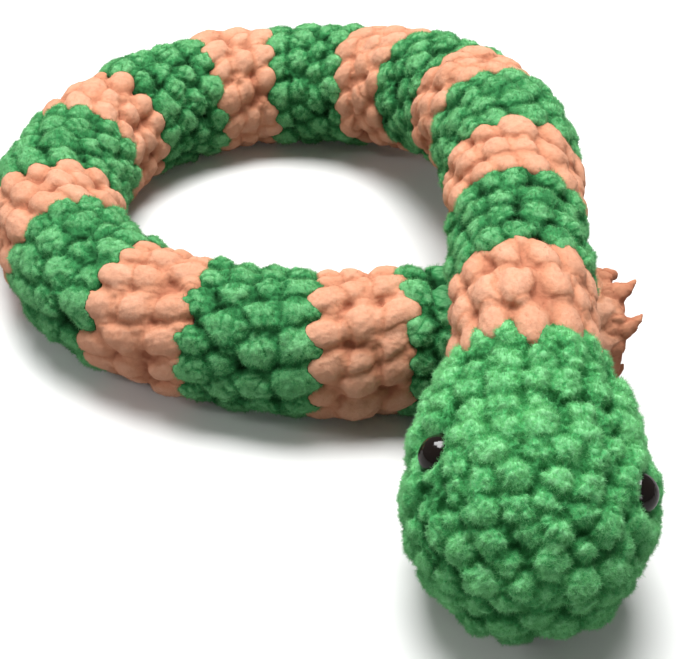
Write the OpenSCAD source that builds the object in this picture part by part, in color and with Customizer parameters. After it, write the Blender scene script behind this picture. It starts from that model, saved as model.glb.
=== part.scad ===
// Crocheted snake toy, coiled once round on a table with its neck lying over its own body.
// The body cover is a chain of peach and green bands, each crocheted on to the next with
// pointed stitches. Inside are soft stuffing and the shanks and washers of two safety eyes.

/* [Stitches] */
// Length of one crocheted round along the body
round_len = 11.9; // [10:0.1:14]
// Rounds in each peach band
peach_rounds = 3; // [2:1:5]
// Rounds in each green band
green_rounds = 4; // [2:1:6]
// Peach bands between the head and the tail, each with a green band after it but the last
peach_bands = 10; // [8:1:12]
// Thickness of the crocheted cover
cover_t = 5; // [3:0.5:7]
// Depth of the pointed stitches where two colours meet
stitch_reach = 7; // [2:0.5:9]
// Height of each stitch above the dips round it
stitch_height = 1.6; // [0.4:0.1:2.4]

/* [Body] */
// Width of the stuffed body
body_d = 57; // [52:0.5:62]
// Width of the neck
neck_d = 53; // [46:0.5:56]
// Rounds of even neck behind the head
neck_even = 5; // [3:1:7]
// Rounds in which the neck widens to the body
neck_flare = 10; // [6:1:12]
// How far the mouth of the tail is drawn in
mouth_in = 4; // [0:0.5:8]
// Height of the rounded end that closes the tail
tail_dome = 1.5; // [1:0.5:8]

/* [Head] */
// Width of the head at its widest
head_d = 86.5; // [80:0.5:94]
// From the first peach band to the widest part of the head
crown_len = 45; // [40:0.5:54]
// From the widest part of the head to the nose
nose_len = 48.5; // [40:0.5:56]
// How far the nose lies above the middle of the head
nose_lift = 2; // [0:0.5:8]
// Angle by which the nose turns to one side of the neck
head_turn = 2; // [0:1:20]

/* [Eyes] */
// Width of a safety eye
eye_d = 14; // [10:0.5:16]
// Height of its dome above the rim
eye_dome = 4.6; // [3:0.1:7]
// Thickness of its rim
eye_rim = 1.2; // [0.8:0.1:2]
// Angle of the eyes above the sides of the head
eye_up = 30; // [10:1:45]
// Angle by which one eye sits higher and the other lower than that
eye_lean = 5; // [0:1:10]
// Angle by which the line of the eyes is turned from square across the head
eye_skew = 6; // [0:1:15]
// Distance of the eyes from the widest part of the head towards the nose
eye_ahead = 7.5; // [0:0.5:12]
// Width of the ribbed shank
shank_d = 5; // [4:0.1:6]
// Length of the shank behind the rim
shank_len = 14; // [12:0.5:16]
// Distance from one rib of the shank to the next
rib_pitch = 1.6; // [1.2:0.1:2.5]
// Depth of the grooves between the ribs
rib_depth = 0.4; // [0.2:0.1:0.8]
// Width of the washer that locks the shank
washer_d = 14; // [11:0.5:18]
// Thickness of the washer
washer_t = 1.6; // [1:0.1:3]
// Gap between the shank and what it passes through
shank_clear = 0.1; // [0.05:0.05:0.3]

/* [How it lies] */
// Rounds of straight neck behind the head
neck_run = 9.5; // [8:0.5:12]
// Rounds in the bend behind the neck
shoulder_rounds = 9.5; // [8:0.5:12]
// Turn of that bend
shoulder_turn = 27; // [15:1:45]
// Rounds in the bend at the far side
far_rounds = 8.5; // [7:0.5:12]
// Turn of that bend
far_turn = 69; // [50:1:80]
// Rounds in the long bend round the side
side_rounds = 24; // [20:0.5:26]
// Turn of that bend
side_turn = 156; // [140:1:165]
// Rounds in the bend into the tail
tail_rounds = 6; // [4:0.5:8]
// Turn of that bend
tail_turn = 25.5; // [10:0.5:35]
// Round behind the head where the neck starts to sink from its highest part
crest_end = 9; // [8:0.5:10]
// Round behind the head where the body has come down to the table
ground_round = 28; // [24:1:32]
// How far each of the two soft tubes flattens where they cross
squash = 5.5; // [3:0.5:7]
// Gap between them there
cross_gap = 0.2; // [0.1:0.1:0.4]
// Depth of the flat where the body rests on the table
floor_cut = 0.5; // [0.3:0.1:1]
// Depth of the flat under the head
head_press = 2; // [1.5:0.1:3]

/* [Hidden] */
GREEN = "#3f9a55";
PEACH = "#d98f6f";
FILL = "#f2efe8";
BLACK = "#141214";
sides = 24;                 // facets round the outside, two to each stitch of the body
lining = sides / 2;         // facets round the lining
press_rate = 5;             // how quickly the stitches underneath flatten towards the lowest line
body_r = body_d / 2;
neck_r = neck_d / 2;
head_r = head_d / 2;
body_z = body_r - floor_cut;
head_z = head_r - head_press;
cross_z = 2 * body_r - floor_cut - squash;
neck_z = cross_z + neck_r - squash;
crest_start = 1.5;          // round behind the head where the neck reaches its full height
crown_power = 1.9;          // fullness of the back of the head
crown_round = 0.78;
step = 1.5;                 // rounds before and after over which a slope is measured
band_rounds = peach_rounds + green_rounds;
total_rounds = peach_bands * band_rounds - green_rounds;
mouth_rounds = 2;           // rounds over which the mouth of the tail is drawn in
plug_round = total_rounds - cover_t / round_len;
neck_heading = 87.6;        // direction from the head along the neck, from the X axis

// The path in plan: each stretch has its number of rounds and the angle that it turns
stretches = [[neck_run, 0], [shoulder_rounds, shoulder_turn], [far_rounds, far_turn],
             [side_rounds, side_turn], [tail_rounds, tail_turn], [total_rounds, 0]];

// Where an arc or a straight ends: x, y and heading after s rounds that turn k degrees each
function arc_end(at, k, s) =
    let (h = at[2], g = h + k * s, r = abs(k) < 0.01 ? 0 : round_len * 180 / (PI * k))
    r == 0 ? [at[0] + s * round_len * cos(h), at[1] + s * round_len * sin(h), h]
           : [at[0] + r * (sin(g) - sin(h)), at[1] - r * (cos(g) - cos(h)), g];
function turn_rate(i) = stretches[i][1] / stretches[i][0];
function walk(s, at, i) =
    let (n = stretches[i][0])
    s <= n || i == len(stretches) - 1 ? arc_end(at, turn_rate(i), s)
                                      : walk(s - n, arc_end(at, turn_rate(i), n), i + 1);
start = [0, 0, neck_heading];
nose_start = [-crown_len * cos(neck_heading), -crown_len * sin(neck_heading),
              neck_heading - head_turn];
// x, y and heading at s rounds behind the head; inside the head s is negative
function plan(s) =
    let (w = -s * round_len)
    s >= 0 ? walk(s, start, 0)
    : w <= crown_len ? [-w * cos(neck_heading), -w * sin(neck_heading),
                        neck_heading - head_turn * ease(w / crown_len)]
    : [nose_start[0] - (w - crown_len) * cos(nose_start[2]),
       nose_start[1] - (w - crown_len) * sin(nose_start[2]), nose_start[2]];

// Smooth step from 0 to 1
function ease(u) = let (v = max(0, min(1, u))) v * v * (3 - 2 * v);
crown_rounds = crown_len / round_len;
function height(s) =
    s > crest_start ? neck_z + (body_z - neck_z) * ease((s - crest_end) / (ground_round - crest_end))
    : neck_z + (head_z - neck_z) * ease((crest_start - s) / (crest_start + crown_rounds))
      + nose_lift * pow(max(0, (-s * round_len - crown_len) / nose_len), 2);
function slope(s) = atan2(height(s + step) - height(s - step), 2 * step * round_len);

// Radius of the cover, with the bulge of the crown behind the widest part of the head
function crown(s) = pow(max(0, 1 - pow(1 + s / crown_rounds, crown_power)), crown_round);
function radius(s) =
    s >= 0 ? neck_r + (body_r - neck_r) * ease((s - neck_even) / neck_flare)
             - mouth_in * ease(1 - (total_rounds - s) / mouth_rounds)
           : neck_r + (head_r - neck_r) * crown(s);

// Where the neck lies over the body: both are straight there
tail_start = walk(total_rounds - 1, start, 0);
cross_way = (tail_start[1] * cos(neck_heading) - tail_start[0] * sin(neck_heading))
            / sin(neck_heading - tail_start[2]);
cross_x = tail_start[0] + cos(tail_start[2]) * cross_way;
cross_y = tail_start[1] + sin(tail_start[2]) * cross_way;
cross_reach = body_r + neck_r / 4;
function crosses(p) = norm([p[0] - cross_x, p[1] - cross_y]) < cross_reach;

// A point is kept above the table and on its own side of the crossing
function rested(p, s, inset) =
    let (low = s > 0 && s < neck_run && crosses(p) ? cross_z + inset : inset,
         high = s > neck_run && crosses(p) ? cross_z - cross_gap - inset : 2 * neck_z)
    [p[0] - middle[0], p[1] - middle[1], min(high, max(low, p[2]))];
function around(s, a, r) =
    let (c = plan(s), g = slope(s), h = c[2])
    [c[0] - r * (cos(a) * sin(h) + sin(a) * sin(g) * cos(h)),
     c[1] + r * (cos(a) * cos(h) - sin(a) * sin(g) * sin(h)),
     height(s) + r * sin(a) * cos(g)];

// The outline seen from above is centred on the origin
tips_round = total_rounds + stitch_reach / 2 / round_len;
edges = concat([for (s = [-crown_rounds : 1 : total_rounds]) for (a = [0, 180]) around(s, a, radius(s))],
               [for (a = [90 : 15 : 270]) around(tips_round, a, radius(total_rounds))]);
nose_tip = plan(-(crown_len + nose_len) / round_len);
middle = [(max([for (p = edges) p[0]]) + min([for (p = edges) p[0]])) / 2,
          (max([for (p = edges) p[1]]) + min(nose_tip[1], min([for (p = edges) p[1]]))) / 2];

// Rings of points: one round the outside, where odd and even facets stand in and out and reach
// to and fro along the body, and one round the lining
function outer_angle(j) = (j + 0.5) * 360 / sides;
function lining_angle(j) = (j + 0.5) * 360 / lining;
// How far an in-standing point lies below an out-standing one; stitches underneath are pressed flat
function dip(j, s) =
    (1 - odd(j, s)) / 2 * stitch_height * min(1, press_rate * (1 + sin(outer_angle(j))));
function odd(j, s) = (j + round(s)) % 2 == 0 ? 1 : -1;
function outer_ring(s, reach) =
    [for (j = [0 : sides - 1])
        let (t = s + odd(j, s) * reach / 2 / round_len)
        rested(around(t, outer_angle(j), radius(s) - dip(j, s)), s, 0)];
function lining_ring(s) =
    [for (j = [0 : lining - 1])
        rested(around(s, lining_angle(j), radius(s) - cover_t), s, cover_t)];
nose_step = 15;             // degrees between the rings of the nose
// Rings of the rounded front of the head, at t degrees from its widest part to the nose
function nose_ring(t, n, inset) =
    let (s = -(crown_len + (nose_len - inset) * sin(t)) / round_len)
    [for (j = [0 : n - 1])
        let (low = n == sides ? dip(j, t / nose_step) : 0)
        rested(around(s, (j + 0.5) * 360 / n, (head_r - inset - low) * cos(t)), s, inset)];
function nose_point(inset) =
    let (s = -(crown_len + nose_len - inset) / round_len) rested(around(s, 0, 0), s, 0);

// Faces between rings of n points that start at a and b, and from a ring to one point
function wall(a, b, n) =
    [for (j = [0 : n - 1]) let (k = (j + 1) % n) each [[a + j, b + j, b + k], [a + j, b + k, a + k]]];
function fan(a, n, point) = [for (j = [0 : n - 1]) [a + j, a + (j + 1) % n, point]];
// Faces across the thickness of the cover, from an outer ring to a lining ring
function rim(a, b) =
    [for (i = [0 : lining - 1])
        let (p = a + 2 * i, q = p + 1, r = a + (2 * i + 2) % sides, k = b + (i + 1) % lining)
        each [[p, b + i, q], [q, b + i, r], [r, b + i, k]]];
function flip(faces) = [for (f = faces) [f[2], f[1], f[0]]];
function joined(rings) = [for (r = rings) each r];

// A length of cover: outer rings from one end to the other, then lining rings back
module cover(outers, linings) {
    m = len(outers);
    k = len(linings);
    first = m * sides;
    last = first + (k - 1) * lining;
    polyhedron(joined(concat(outers, linings)), concat(
        [for (i = [0 : m - 2]) each wall(i * sides, (i + 1) * sides, sides)],
        [for (i = [0 : k - 2]) each flip(wall(first + i * lining, first + (i + 1) * lining, lining))],
        flip(rim(0, first)), rim((m - 1) * sides, last)));
}

// A band of cover from one round to another
module band(from, rounds, stops) {
    cover([for (i = [0 : rounds]) outer_ring(from + i, i == 0 || i == rounds ? stitch_reach : 0)],
          [for (s = stops) lining_ring(s)]);
}
function band_stops(from, rounds) = [from, from + rounds / 2, from + rounds];

module peach_band(i) {
    from = (i - 1) * band_rounds;
    color(PEACH)
        band(from, peach_rounds,
             i < peach_bands ? band_stops(from, peach_rounds)
                             : [from, from + peach_rounds / 2, plug_round, total_rounds]);
}

module green_band(i) {
    from = (i - 1) * band_rounds + peach_rounds;
    color(GREEN) band(from, green_rounds, band_stops(from, green_rounds));
}

dome_parts = [0.6, 0.9];    // rings of the rounded end, as parts of its height
// The last green rounds, drawn together inside the mouth of the last peach band
module tail_closing() {
    dome = [for (f = dome_parts) [for (p = lining_ring(total_rounds))
        let (c = rested(around(total_rounds + f * tail_dome / round_len, 0, 0), total_rounds, 0))
        c + (p - rested(around(total_rounds, 0, 0), total_rounds, 0)) * sqrt(1 - f * f)]];
    tip = rested(around(total_rounds + tail_dome / round_len, 0, 0), total_rounds, 0);
    base = rested(around(plug_round, 0, 0), plug_round, 0);
    rings = concat([lining_ring(plug_round), lining_ring(total_rounds)], dome);
    color(GREEN) plug(rings, base, tip);
}

// A solid of lining rings with a point at each end
module plug(rings, base, tip) {
    n = len(rings) * lining;
    polyhedron(concat(joined(rings), [base, tip]), concat(
        [for (i = [0 : len(rings) - 2]) each wall(i * lining, (i + 1) * lining, lining)],
        fan(0, lining, n), flip(fan(n - lining, lining, n + 1))));
}

// Soft fill of the body, which follows the lining of every band
fill_stops = concat(
    [for (i = [0 : peach_bands - 1]) each [
        i * band_rounds, i * band_rounds + peach_rounds / 2,
        if (i < peach_bands - 1) each [i * band_rounds + peach_rounds,
                                       i * band_rounds + peach_rounds + green_rounds / 2]]],
    [plug_round]);
module body_stuffing() {
    color(FILL) plug([for (s = fill_stops) lining_ring(s)],
                     rested(around(0, 0, 0), 0, 0),
                     rested(around(plug_round, 0, 0), plug_round, 0));
}

// Rounds of the head from the first peach band to the nose
crown_parts = 5;
nose_parts = 5;
crown_spread = 1.6;         // sets the rings of the crown closer towards its widest part
crown_stops = [for (i = [0 : crown_parts - 1])
    -crown_rounds * (1 - pow(1 - i / crown_parts, crown_spread))];
head_outers = concat([for (s = crown_stops) outer_ring(s, s == 0 ? stitch_reach : 0)],
                     [for (i = [0 : nose_parts]) nose_ring(i * nose_step, sides, 0)]);
head_linings = concat([for (s = crown_stops) lining_ring(s)],
                      [for (i = [0 : nose_parts]) nose_ring(i * nose_step, lining, cover_t)]);

module head_cover() {
    m = len(head_outers);
    k = len(head_linings);
    first = m * sides;
    last = first + k * lining;
    color(GREEN) difference() {
        polyhedron(concat(joined(head_outers), joined(head_linings),
                          [nose_point(0), nose_point(cover_t)]), concat(
            [for (i = [0 : m - 2]) each flip(wall(i * sides, (i + 1) * sides, sides))],
            [for (i = [0 : k - 2]) each wall(first + i * lining, first + (i + 1) * lining, lining)],
            rim(0, first), fan((m - 1) * sides, sides, last),
            flip(fan(last - lining, lining, last + 1))));
        for (side = [0, 1]) at_eye(side) shank_hole(3 * cover_t);
    }
}

module head_stuffing() {
    color(FILL) difference() {
        mirror_plug(head_linings, rested(around(0, 0, 0), 0, 0), nose_point(cover_t));
        for (side = [0, 1]) at_eye(side) pocket();
    }
}
// The same solid as plug, for rings that run towards the nose
module mirror_plug(rings, base, tip) {
    n = len(rings) * lining;
    polyhedron(concat(joined(rings), [base, tip]), concat(
        [for (i = [0 : len(rings) - 2]) each flip(wall(i * lining, (i + 1) * lining, lining))],
        flip(fan(0, lining, n)), fan(n - lining, lining, n + 1)));
}

// Eyes: the origin is on the cover, with the shank along -Z into the head
eye_round = -(crown_len + eye_ahead) / round_len;
eye_sink = 2;               // how far the rim presses into the soft cover
eye_part = asin(eye_ahead / nose_len);
eye_seat = head_r * cos(eye_part) * cos(180 / sides) - eye_sink;
eye_face = atan2(sin(eye_part) / nose_len, cos(eye_part) / head_r);
washer_gap = 1.8;           // slack between the lining, whose facets dip, and the washer
washer_top = -(cover_t - eye_sink + washer_gap + sin(eye_face) * washer_d / 2);
tip_taper = 0.8;            // narrowing at the end of the shank
plain_len = 2;              // length of the shank without ribs, under the rim
dome_steps = 7;             // facets from the rim of an eye to the top of its dome
module at_eye(side) {
    c = plan(eye_round);
    way = 1 - 2 * side;
    translate([c[0] - middle[0], c[1] - middle[1], height(eye_round)])
        rotate([0, 0, c[2] + way * 90 - eye_skew])
            rotate([0, 90 - eye_up - way * eye_lean, 0])
                translate([0, 0, eye_seat])
                    rotate([-way * eye_face, 0, 0]) children();
}
module shank_hole(depth) {
    translate([0, 0, -depth]) cylinder(d = shank_d + 2 * shank_clear, h = depth + eye_sink, $fn = 48);
    cylinder(d = eye_d + 2 * shank_clear, h = 2 * eye_dome, $fn = 64);
}
module pocket() {
    translate([0, 0, washer_top - washer_t - 2 * shank_clear])
        cylinder(d = washer_d + 4 * shank_clear, h = washer_t + cover_t, $fn = 64);
    translate([0, 0, -shank_len - 2 * shank_clear])
        cylinder(d = shank_d + 4 * shank_clear, h = shank_len, $fn = 48);
}

module eye(side) {
    ribs = floor((shank_len - plain_len - 1) / rib_pitch);
    dome_r = (pow(eye_d / 2, 2) + pow(eye_dome, 2)) / (2 * eye_dome);
    color(BLACK) at_eye(side) rotate_extrude($fn = 64) {
        polygon(concat([[0, 0], [eye_d / 2, 0], [eye_d / 2, eye_rim]],
                       [for (i = [1 : dome_steps])
                           let (a = asin(eye_d / 2 / dome_r) * (1 - i / dome_steps))
                           [dome_r * sin(a), eye_rim + eye_dome - dome_r * (1 - cos(a))]]));
        polygon(concat([[0, eye_rim / 2], [0, -shank_len], [shank_d / 2 - tip_taper, -shank_len]],
                       [for (i = [ribs - 1 : -1 : 0]) let (z = -plain_len - i * rib_pitch) each [
                           [shank_d / 2, z], [shank_d / 2 - rib_depth, z + rib_pitch / 4]]],
                       [[shank_d / 2 - rib_depth, eye_rim / 2]]));
    }
}

module eye_washer(side) {
    color(FILL) at_eye(side) translate([0, 0, washer_top - washer_t]) difference() {
        cylinder(d = washer_d, h = washer_t, $fn = 64);
        translate([0, 0, -1]) cylinder(d = shank_d + 2 * shank_clear, h = washer_t + 2, $fn = 48);
    }
}

function two_digits(i) = i < 10 ? str("0", i) : str(i);

head_cover();
head_stuffing();
eye(0);  // eye_left
eye(1);  // eye_right
eye_washer(0);  // eye_washer_left
eye_washer(1);  // eye_washer_right
body_stuffing();
tail_closing();
for (i = [1 : peach_bands])
    peach_band(i);
for (i = [1 : peach_bands - 1])
    green_band(i);
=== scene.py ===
# %% [markdown]
# # A crocheted snake toy
#
# The toy is a stuffed tube of thick chenille yarn. Ten peach bands and nine green ones follow each
# other from the head to the tail, and the neck lies over the snake's own body. The solids of every
# piece come from the CAD model. This lesson gives the soft pieces their stitches, gives every
# piece its material, and photographs the toy on a white table.

# %% Load the frame
import math
from itertools import product

import bmesh
import bpy
import numpy as np
from mathutils import Matrix, Vector
from mathutils.kdtree import KDTree


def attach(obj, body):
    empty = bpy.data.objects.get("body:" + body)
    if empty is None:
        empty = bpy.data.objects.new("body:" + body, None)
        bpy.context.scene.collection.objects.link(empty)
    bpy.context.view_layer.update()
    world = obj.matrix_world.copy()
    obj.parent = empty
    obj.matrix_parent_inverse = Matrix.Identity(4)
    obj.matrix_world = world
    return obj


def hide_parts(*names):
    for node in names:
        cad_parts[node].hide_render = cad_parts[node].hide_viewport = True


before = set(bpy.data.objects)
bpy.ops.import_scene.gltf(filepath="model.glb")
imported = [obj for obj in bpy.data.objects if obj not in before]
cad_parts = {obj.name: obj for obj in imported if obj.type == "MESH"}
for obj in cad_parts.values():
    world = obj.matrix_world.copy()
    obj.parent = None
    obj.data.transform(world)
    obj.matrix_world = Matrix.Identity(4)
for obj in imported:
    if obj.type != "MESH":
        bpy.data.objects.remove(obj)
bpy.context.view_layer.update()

# %% [markdown]
# ## Sizes
#
# The real toy is 395 mm long as it lies, and its body is 57 mm across. It could be drawn by eye and
# scaled afterwards, but then no stitch would land on its solid. So each size of the real toy is
# written down once, in millimetres, with lengths along the snake in crocheted rounds.

# %% Sizes
MM = 0.001
ROUND = 11.9                 # length of one crocheted round along the body
PEACH_ROUNDS = 3
GREEN_ROUNDS = 4
BANDS = 10                   # peach bands, each followed by a green one but the last
PAIR = PEACH_ROUNDS + GREEN_ROUNDS
LAST_ROUND = BANDS * PAIR - GREEN_ROUNDS
COVER = 5.0                  # thickness of the crocheted cover
BODY_R = 28.5
NECK_R = 26.5
HEAD_R = 43.25
CROWN = 45.0                 # from the first peach band to the widest part of the head
NOSE = 48.5                  # from there to the nose
HEAD_FROM_MIDDLE = (88.49, -103.52)   # where head and neck meet, seen from above
print("the body has", LAST_ROUND, "rounds and is", round(LAST_ROUND * ROUND), "mm long")

# %% [markdown]
# ## The line that the snake follows
#
# Laid on a table, a stuffed snake bends smoothly. Its middle line could be a curve drawn by hand,
# but the solids were built on a chain of straights and arcs, so the same chain is used here. The
# heading at the end of each stretch is known, and adding up many short steps gives the places.

# %% Path in plan
NECK_HEADING = 87.6          # degrees
HEAD_TURN = 2.0              # degrees that the head looks to one side
AHEAD = 9                    # rounds of line in front of the neck, enough for the head
SPARE = 3                    # rounds of line past the end of the tail
STEP = 0.01                  # rounds from one place on the line to the next
bend_rounds = np.cumsum([0, 9.5, 9.5, 8.5, 24, 6, 40])
bend_heading = NECK_HEADING + np.cumsum([0, 0, 27, 69, 156, 25.5, 0])


def ease(u):
    """Smooth step from 0 to 1."""
    v = np.clip(u, 0, 1)
    return v * v * (3 - 2 * v)


def walked(heading):
    """Places reached by short steps along these headings, from the origin."""
    moves = STEP * ROUND * np.column_stack([np.cos(np.radians(heading)), np.sin(np.radians(heading))])
    return np.cumsum(moves, axis=0)


behind = np.arange(0, LAST_ROUND + SPARE, STEP)
behind_heading = np.interp(behind, bend_rounds, bend_heading)
behind_xy = walked(behind_heading) - walked(behind_heading)[0]
inside = np.arange(-AHEAD, -STEP / 2, STEP)
inside_move = np.where(-inside * ROUND <= CROWN, NECK_HEADING, NECK_HEADING - HEAD_TURN)
inside_heading = NECK_HEADING - HEAD_TURN * ease(-inside * ROUND / CROWN)
inside_xy = -walked(inside_move[::-1])[::-1]
line_s = np.concatenate([inside, behind])
line_xy = np.concatenate([inside_xy, behind_xy]) + np.array(HEAD_FROM_MIDDLE)
line_heading = np.concatenate([inside_heading, behind_heading])
print("path", len(line_s), "places, tail at", line_xy[-1].round(1))

# %% [markdown]
# ## How high the line lies
#
# The body rests on the table, the neck lies on top of the tail, and the head rests in front. A soft
# body simulation could let the toy sink down, but it would leave the solids. So the height is a
# formula in easy steps, and both tubes are a little flatter where they press on each other.

# %% Height along the line
FLOOR_CUT = 0.5              # how much of the body the table presses flat
HEAD_PRESS = 2.0             # and of the head
SQUASH = 5.5                 # and each tube of the other where they cross
BODY_Z = BODY_R - FLOOR_CUT
HEAD_Z = HEAD_R - HEAD_PRESS
CROSS_Z = 2 * BODY_R - FLOOR_CUT - SQUASH
NECK_Z = CROSS_Z + NECK_R - SQUASH
CREST_START, CREST_END, GROUND = 1.5, 9, 28      # rounds where the neck is high, sinks and is down
NOSE_LIFT = 2.0
CROWN_ROUNDS = CROWN / ROUND
SLOPE_STEP = 1.5             # rounds to either side over which the slope is measured


def height(s):
    """Height of the middle line at round s."""
    sinking = NECK_Z + (BODY_Z - NECK_Z) * ease((s - CREST_END) / (GROUND - CREST_END))
    rising = NECK_Z + (HEAD_Z - NECK_Z) * ease((CREST_START - s) / (CREST_START + CROWN_ROUNDS))
    nose = NOSE_LIFT * np.maximum(0, (-s * ROUND - CROWN) / NOSE) ** 2
    return np.where(s > CREST_START, sinking, rising + nose)


def slope(s):
    """Angle at which the middle line rises, in radians."""
    return np.arctan2(height(s + SLOPE_STEP) - height(s - SLOPE_STEP), 2 * SLOPE_STEP * ROUND)


print("the middle line lies", CROSS_Z, "mm high where neck and tail touch, and", BODY_Z, "on the table")

# %% [markdown]
# ## How thick the snake is
#
# The maker widened the neck to the body within a few rounds, and drew the last two rounds in. On
# the head the stitches were increased, then decreased again. Rings of points could be set one by
# one, but a formula for the radius keeps the rounds even, as counted stitches do.

# %% Radius along the line
HEAD_SWELL, HEAD_BLUNT = 1.9, 0.78     # powers that shape the back of the head
WIDENS_FROM, WIDENS_OVER = 5, 10       # rounds
MOUTH, MOUTH_ROUNDS = 4, 2   # mm that the tail's end is drawn in, and over how many rounds


def crown(s):
    """Bulge of the back of the head, from 0 at the neck to 1 at its widest part."""
    return np.maximum(0, 1 - np.maximum(0, 1 + s / CROWN_ROUNDS) ** HEAD_SWELL) ** HEAD_BLUNT


def radius(s):
    """Radius of the cover behind the head."""
    mouth = MOUTH * ease(1 - (LAST_ROUND - s) / MOUTH_ROUNDS)
    return NECK_R + (BODY_R - NECK_R) * ease((s - WIDENS_FROM) / WIDENS_OVER) - mouth


def around(s, a, r):
    """The point at distance r from the line at round s, turned a radians from the left."""
    x, y, h = (np.interp(s, line_s, v) for v in (line_xy[:, 0], line_xy[:, 1], np.radians(line_heading)))
    g = slope(s)
    return np.stack([x - r * (np.cos(a) * np.sin(h) + np.sin(a) * np.sin(g) * np.cos(h)),
                     y + r * (np.cos(a) * np.cos(h) - np.sin(a) * np.sin(g) * np.sin(h)),
                     height(s) + r * np.sin(a) * np.cos(g)], axis=-1)


print("radius at the neck and at the tail's end", radius(np.array([0, LAST_ROUND])).round(1), "mm")

# %% [markdown]
# ## A skin to crochet on
#
# Stitches could be placed one by one in space, but a maker thinks of a sheet: u runs along the
# snake, a round it, and w is the height above the cover. One function turns that into a point in
# space. The head curves in at the nose, so there u follows the curve of its profile.

# %% The skin
LEAN_SPREAD = 20             # places to either side over which the profile's lean is evened out
LEAN_START = 6               # mm over which the lean begins at the neck
nose_t = np.linspace(0, math.pi / 2, 400)
crown_x = np.linspace(0, CROWN, 400)
profile_x = np.concatenate([crown_x, CROWN + NOSE * np.sin(nose_t[1:])])
profile_r = np.concatenate([NECK_R + (HEAD_R - NECK_R) * crown(-crown_x / ROUND),
                            HEAD_R * np.cos(nose_t[1:])])
profile_u = np.concatenate([[0], np.cumsum(np.hypot(np.diff(profile_x), np.diff(profile_r)))])
lean = np.arctan2(np.gradient(profile_r, profile_u), np.gradient(profile_x, profile_u))
even = np.ones(2 * LEAN_SPREAD + 1) / (2 * LEAN_SPREAD + 1)
lean = np.convolve(np.pad(lean, LEAN_SPREAD, "edge"), even, "valid")
HEAD_U = profile_u[-1]       # from the neck over the skin to the nose


def skin(u, a, w):
    """The point w above the skin; u is in mm, positive behind the head and negative over it."""
    u, a, w = np.broadcast_arrays(u, a, w)
    m = np.minimum(-u, 2 * HEAD_U + u)          # past the nose the skin comes back down
    tilt = np.interp(m, profile_u, lean) * ease(m / LEAN_START)
    x = np.interp(m, profile_u, profile_x) - w * np.sin(tilt)
    r = np.interp(m, profile_u, profile_r) + w * np.cos(tilt)
    behind_head = u >= 0
    s = np.where(behind_head, u / ROUND, -x / ROUND)
    r = np.where(behind_head, radius(u / ROUND) + w, r)
    return around(s, a + np.where(-u > HEAD_U, math.pi, 0), r)


def skin_radius(u):
    """Radius of the skin at u."""
    return np.where(u >= 0, radius(u / ROUND), np.interp(-u, profile_u, profile_r))


print("profile of the head", round(HEAD_U, 1), "mm; nose at", skin(-HEAD_U, 0.0, 0.0).round(1))

# %% [markdown]
# ## Which way a stitch looks
#
# A crocheted loop lies along the tube, and its back is turned to the stuffing. Three directions are
# needed to set it down: along, round and out. They could be worked out as formulas, but it is
# simpler to look at the skin a little further on, and that also works at the end of the tail.

# %% Directions on the skin
ALONG_SPAN = 6               # mm to either side, to find the way along
ROUND_SPAN = 0.08            # radians to either side, to find the way round
LEAST_STRETCH, MOST_STRETCH = 0.8, 1.25


def unit(v):
    """Vectors of length 1."""
    return v / np.maximum(np.linalg.norm(v, axis=-1, keepdims=True), 1e-9)


def directions(u, a, place=skin):
    """Places on the skin, and the ways there towards the tail, round the snake and out.

    Behind the head the first way is longer where a bend stretches the stitches, and shorter inside it.
    """
    middle = place(u, a, 0.0)
    ahead = place(u + ALONG_SPAN, a, 0.0) - place(u - ALONG_SPAN, a, 0.0)
    stretch = np.clip(np.linalg.norm(ahead, axis=1) / (2 * ALONG_SPAN), LEAST_STRETCH, MOST_STRETCH)
    stretch = np.where((u > 0) & (place is skin), stretch, 1.0)[:, None]
    ahead = unit(ahead)
    aside = place(u, a + ROUND_SPAN, 0.0) - place(u, a - ROUND_SPAN, 0.0)
    aside = unit(aside - ahead * (aside * ahead).sum(1, keepdims=True))
    out = np.cross(ahead, aside)
    facing = np.sign(((place(u, a, 1.0) - middle) * out).sum(1, keepdims=True))
    return middle, ahead * stretch, aside, out * facing


top_of_neck = directions(np.array([30.0]), np.array([math.pi / 2]))
print("on top of the neck, out is", top_of_neck[3][0].round(2))

# %% [markdown]
# ## Where the snake lies on itself
#
# The real yarn is pressed flat on the table and where the neck lies on the tail. A collision
# simulation would show that too, but takes long and moves the pieces. Here each point that would
# go through is put back on the flat, and each tube keeps to its own side.

# %% Pressed places
tail_at = around(np.array(LAST_ROUND - 1.0), np.array(0.0), np.array(0.0))
tail_h = math.radians(bend_heading[-1])
neck_h = math.radians(NECK_HEADING)
gap = tail_at[:2] - np.array(HEAD_FROM_MIDDLE)
cross_way = (gap[1] * math.cos(neck_h) - gap[0] * math.sin(neck_h)) / math.sin(neck_h - tail_h)
cross = tail_at[:2] + cross_way * np.array([math.cos(tail_h), math.sin(tail_h)])
CROSS_REACH = BODY_R + NECK_R / 4
CROSS_GAP = 0.2
NECK_ROUNDS = 9              # rounds that lie on the upper side of the crossing
NO_LIMIT = 1e3


def pressed(points, neck, inset):
    """The points moved off the table, and to their own side where neck and tail cross."""
    near = np.hypot(*(points[:, :2] - cross).T) < CROSS_REACH
    low = inset + CROSS_Z * (near & neck)
    high = np.where(near & np.logical_not(neck), CROSS_Z - CROSS_GAP - inset, NO_LIMIT)
    out = points.copy()
    out[:, 2] = np.clip(points[:, 2], low, high)
    return out


print("neck and tail cross at", cross.round(1))

# %% [markdown]
# ## One stitch
#
# Each leg of a stitch shows as a plump leaf, blunt towards the head and pointed towards the tail. It
# could be sculpted, or a bent tube of yarn, but chenille is so thick that no turn of the yarn shows.
# A mesh of rings that get narrower at both ends gives that form with few points.

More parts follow.
